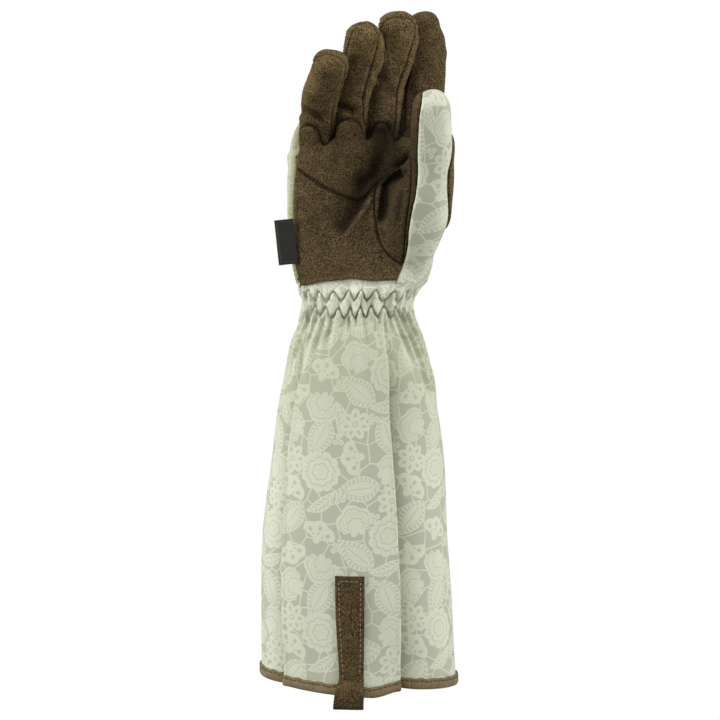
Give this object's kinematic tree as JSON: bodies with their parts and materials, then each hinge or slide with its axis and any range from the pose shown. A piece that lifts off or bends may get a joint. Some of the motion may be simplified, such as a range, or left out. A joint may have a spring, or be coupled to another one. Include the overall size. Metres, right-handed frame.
{
  "type": "gauntlet work glove",
  "caption": "Right-hand work glove with suede palm and finger fronts, a gathered elastic wrist and a long printed cloth gauntlet cuff with a bound hem and pull loop.",
  "frame": {"origin": "centre of the gathered wrist, where the wearer's wrist holds the glove up", "axes": "+Z along the glove towards the fingertips, -Y out of the palm, +X towards the thumb side"},
  "size_m": [0.1236, 0.1048, 0.4214],
  "materials": {
    "suede": "matt napped suede",
    "printed_cloth": "matt cloth with a pale lace print",
    "binding": "matt ribbed tape",
    "label": "smooth woven ribbon"
  },
  "bodies": {
    "root": {"palm_panel": "suede", "back_panel": "printed_cloth", "fourchette_little_ring": "suede", "fourchette_ring_middle": "suede", "fourchette_middle_index": "suede", "thumb_palm": "suede", "thumb_back": "printed_cloth", "palm_pad": "suede", "thumb_guard": "suede", "side_tag": "label", "wrist_gather": "printed_cloth", "gauntlet_cuff": "printed_cloth", "hem_binding": "binding", "pull_loop": "suede"}
  },
  "joints": []
}
